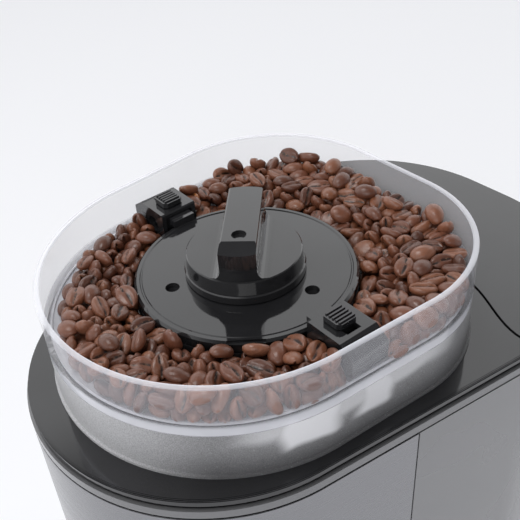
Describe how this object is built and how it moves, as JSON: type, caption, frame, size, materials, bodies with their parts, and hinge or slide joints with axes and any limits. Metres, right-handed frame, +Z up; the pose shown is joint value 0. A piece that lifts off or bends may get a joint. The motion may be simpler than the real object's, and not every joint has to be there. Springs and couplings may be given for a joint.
{
  "type": "burr coffee grinder",
  "caption": "Countertop burr grinder: clear hopper with adjuster knob and slide latches, geared motor drive, hinged rear lid over a pull-out grounds bin.",
  "frame": {"origin": "centre of the footprint on the table, under the middle of the bounding box", "axes": "+Z up, -X towards the hopper and control panel, +X towards the grounds bin, -Y the near long side"},
  "size_m": [0.263, 0.1724, 0.248],
  "materials": {
    "black_gloss": "polished black moulding",
    "black_matte": "fine-textured black moulding",
    "steel_wrap": "satin stainless sheet",
    "silver_shell": "silver-grey painted moulding",
    "trim_grey": "satin silver-grey moulding",
    "clear_tub": "clear moulding",
    "frosted": "fine-frosted clear moulding",
    "smoke_clear": "lightly smoked clear moulding",
    "steel": "bright zinc-plated steel",
    "burr_steel": "ground hardened steel",
    "cast_grey": "glass-filled dark grey moulding",
    "zinc": "zinc-plated drawn steel",
    "laminations": "varnished laminations",
    "ferrite": "sintered dark ceramic",
    "copper": "bare copper",
    "bronze": "sintered bronze",
    "nylon": "natural nylon",
    "rubber": "matte black rubber",
    "felt": "pressed felt",
    "board_green": "green circuit board"
  },
  "bodies": {
    "housing": {"feet": "rubber", "base_pan": "black_matte", "front_wrap": "steel_wrap", "rear_shell": "silver_shell", "trim_band": "trim_grey", "deck": "black_gloss", "bay_frame": "black_matte", "lid_hinge_pin": "steel", "hopper_collar": "frosted", "hopper_tub": "clear_tub", "bean_cage": "black_matte", "latch_housing_near": "black_gloss", "latch_housing_far": "black_gloss", "latch_spring_near": "steel", "latch_spring_far": "steel", "burr_cover": "black_gloss", "grind_chamber": "cast_grey", "throat_gasket": "rubber", "chute": "black_matte", "bearing_upper": "bronze", "bearing_lower": "bronze", "shaft_seal": "felt", "idler_shaft": "steel", "gearbox_case": "cast_grey", "gearbox_lid": "cast_grey", "motor_can": "zinc", "motor_magnets": "ferrite", "motor_end_bell": "black_matte", "motor_brushes": "ferrite", "motor_mount": "rubber", "control_panel": "black_gloss", "button_spring": "steel", "dial_encoder": "cast_grey", "control_board": "board_green", "power_inlet": "black_matte", "bay_liner": "black_matte", "screws_m4": "steel", "screws_m3": "steel"},
    "knob_set": {"knob": "black_gloss", "adjust_spindle": "steel"},
    "burr_carrier_set": {"burr_carrier": "black_matte", "ring_burr": "burr_steel"},
    "burr_rotor": {"cone_burr": "burr_steel", "burr_nut": "steel", "burr_shaft": "steel", "sweeper": "black_matte", "burr_gear": "nylon"},
    "idler": {"idler_gear": "nylon"},
    "armature": {"motor_rotor": "laminations", "motor_shaft": "steel", "commutator": "copper", "motor_pinion": "bronze"},
    "near_latch": {"latch_slide_near": "black_gloss"},
    "far_latch": {"latch_slide_far": "black_gloss"},
    "lid": {"rear_lid": "black_gloss"},
    "bin": {"grounds_bin": "smoke_clear", "bin_front": "silver_shell"},
    "start_key": {"start_button": "trim_grey"},
    "dial": {"quantity_dial": "black_matte"}
  },
  "joints": [
    {"name": "knob_turn", "type": "hinge", "parent": "housing", "child": "knob_set", "pos_m": [-0.029, 0, 0.225], "axis": [0, 0, 1], "range_deg": [-50, 50]},
    {"name": "carrier_lift", "type": "slide", "parent": "housing", "child": "burr_carrier_set", "axis": [0, 0, 1], "range_m": [-0.00056, 0.00056]},
    {"name": "burr_spin", "type": "hinge", "parent": "housing", "child": "burr_rotor", "pos_m": [-0.029, 0, 0.15], "axis": [0, 0, 1], "continuous": true},
    {"name": "idler_spin", "type": "hinge", "parent": "housing", "child": "idler", "pos_m": [-0.05, 0.028, 0.125], "axis": [0, 0, 1], "continuous": true},
    {"name": "motor_spin", "type": "hinge", "parent": "housing", "child": "armature", "pos_m": [-0.068, 0.004, 0.07], "axis": [0, 0, 1], "continuous": true},
    {"name": "near_latch_draw", "type": "slide", "parent": "housing", "child": "near_latch", "axis": [0, -1, 0], "range_m": [0, 0.003], "stiffness_N_per_m": 350, "springref_m": -0.002, "deforming": ["latch_spring_near"]},
    {"name": "far_latch_draw", "type": "slide", "parent": "housing", "child": "far_latch", "axis": [0, 1, 0], "range_m": [0, 0.003], "stiffness_N_per_m": 350, "springref_m": -0.002, "deforming": ["latch_spring_far"]},
    {"name": "lid_hinge", "type": "hinge", "parent": "housing", "child": "lid", "pos_m": [0.124, 0, 0.1865], "axis": [0, 1, 0], "range_deg": [0, 95]},
    {"name": "bin_pull", "type": "slide", "parent": "housing", "child": "bin", "axis": [1, 0, 0], "range_m": [0, 0.12]},
    {"name": "start_press", "type": "slide", "parent": "housing", "child": "start_key", "axis": [1, 0, 0], "range_m": [0, 0.0015], "stiffness_N_per_m": 500, "springref_m": -0.001, "deforming": ["button_spring"]},
    {"name": "dial_turn", "type": "hinge", "parent": "housing", "child": "dial", "pos_m": [-0.12, 0, 0.098], "axis": [1, 0, 0], "range_deg": [-135, 135]}
  ],
  "couplings": [
    {"joint": "knob_turn", "follows": "carrier_lift", "rad_per_m": -1570.8},
    {"joint": "idler_spin", "follows": "burr_spin", "ratio": -3},
    {"joint": "motor_spin", "follows": "burr_spin", "ratio": 9}
  ]
}
